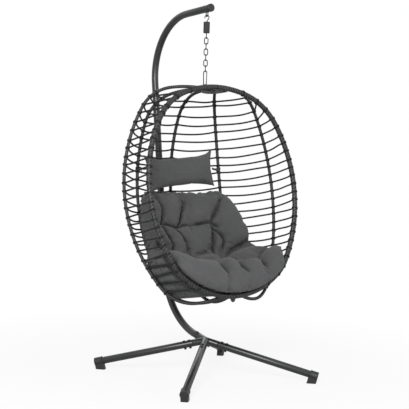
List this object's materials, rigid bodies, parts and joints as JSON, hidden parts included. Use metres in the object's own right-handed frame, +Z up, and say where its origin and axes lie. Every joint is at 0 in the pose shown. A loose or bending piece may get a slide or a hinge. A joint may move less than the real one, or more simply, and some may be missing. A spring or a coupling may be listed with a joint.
{
  "type": "hanging egg chair",
  "caption": "Egg-shaped wicker swing chair that hangs by a spring and chain from a curved pole on a cross base, with a tufted seat cushion and a head pillow.",
  "frame": {"origin": "on the floor under the middle of the object's bounding box", "axes": "+Z up, the opening of the basket faces -Y and the pole stands behind it at +Y, +X is to the right of a person who faces the opening"},
  "size_m": [0.9806, 1.029, 1.9701],
  "materials": {
    "charcoal_tube": "satin",
    "charcoal_eye": "satin",
    "dark_hardware": "satin",
    "black_bolts": "satin",
    "black_rubber": "matte",
    "black_plastic": "matte",
    "rattan_frame": "satin",
    "rattan_strand": "satin",
    "grey_canvas": "matte"
  },
  "bodies": {
    "stand": {"arm_cap": "black_plastic", "base_hub": "charcoal_tube", "foot_cap_front_left": "black_plastic", "foot_cap_front_right": "black_plastic", "foot_cap_rear_left": "black_plastic", "foot_cap_rear_right": "black_plastic", "hanging_eye": "charcoal_eye", "leg_bolts": "black_bolts", "leg_front_left": "charcoal_tube", "leg_front_right": "charcoal_tube", "leg_nuts": "black_bolts", "leg_rear_left": "charcoal_tube", "leg_rear_right": "charcoal_tube", "lower_pole": "charcoal_tube", "pole_bolt": "black_bolts", "pole_nut": "black_bolts", "upper_pole": "charcoal_tube"},
    "spring_top": {"spring_upper_hook": "dark_hardware", "spring_sleeve": "black_rubber", "spring_coil": "dark_hardware"},
    "spring_bottom": {"spring_lower_hook": "dark_hardware"},
    "chain": {"chain_link_1": "dark_hardware", "chain_link_2": "dark_hardware", "chain_link_3": "dark_hardware", "chain_link_4": "dark_hardware", "chain_link_5": "dark_hardware", "chain_link_6": "dark_hardware"},
    "snap": {"snap_hook": "dark_hardware", "gate_pin": "black_bolts"},
    "gate": {"snap_gate": "dark_hardware"},
    "basket": {"back_rib_left": "rattan_frame", "back_rib_right": "rattan_frame", "basket_eye": "charcoal_eye", "centre_rib": "rattan_frame", "crown_plate": "charcoal_tube", "head_pillow": "grey_canvas", "keel_plate": "charcoal_tube", "pillow_tie_left": "grey_canvas", "pillow_tie_right": "grey_canvas", "rim_bolts": "black_bolts", "rim_left": "rattan_frame", "rim_pins": "charcoal_tube", "rim_right": "rattan_frame", "seat_cushion": "grey_canvas", "side_rib_left": "rattan_frame", "side_rib_right": "rattan_frame", "weave_back_left": "rattan_strand", "weave_back_right": "rattan_strand", "weave_front_left": "rattan_strand", "weave_front_right": "rattan_strand", "weave_side_left": "rattan_strand", "weave_side_right": "rattan_strand"}
  },
  "joints": [
    {"name": "swing_fore_aft", "type": "hinge", "parent": "stand", "child": "spring_top", "pos_m": [0, 0.0064, 1.913], "axis": [-1, 0, 0], "range_deg": [-2, 18]},
    {"name": "spring_stretch", "type": "slide", "parent": "spring_top", "child": "spring_bottom", "axis": [0, 0, -1], "range_m": [0, 0.012], "stiffness_N_per_m": 30000, "springref_m": -0.0079, "deforming": ["spring_coil"]},
    {"name": "sway_sideways", "type": "hinge", "parent": "spring_bottom", "child": "chain", "pos_m": [0, 0.0064, 1.7893], "axis": [0, 1, 0], "range_deg": [-8, 8]},
    {"name": "snap_twist", "type": "hinge", "parent": "chain", "child": "snap", "pos_m": [0, 0.0064, 1.6194], "axis": [0, 0, 1], "range_deg": [-30, 30]},
    {"name": "basket_pitch", "type": "hinge", "parent": "snap", "child": "basket", "pos_m": [0, 0.0064, 1.5397], "axis": [-1, 0, 0], "range_deg": [-1, 8]},
    {"name": "gate_open", "type": "hinge", "parent": "snap", "child": "gate", "pos_m": [0.00627, 0.00191, 1.56515], "axis": [-0.5821, -0.8131, 0], "range_deg": [0, 18], "stiffness_Nm_per_rad": 0.02, "springref_deg": -17.19}
  ]
}
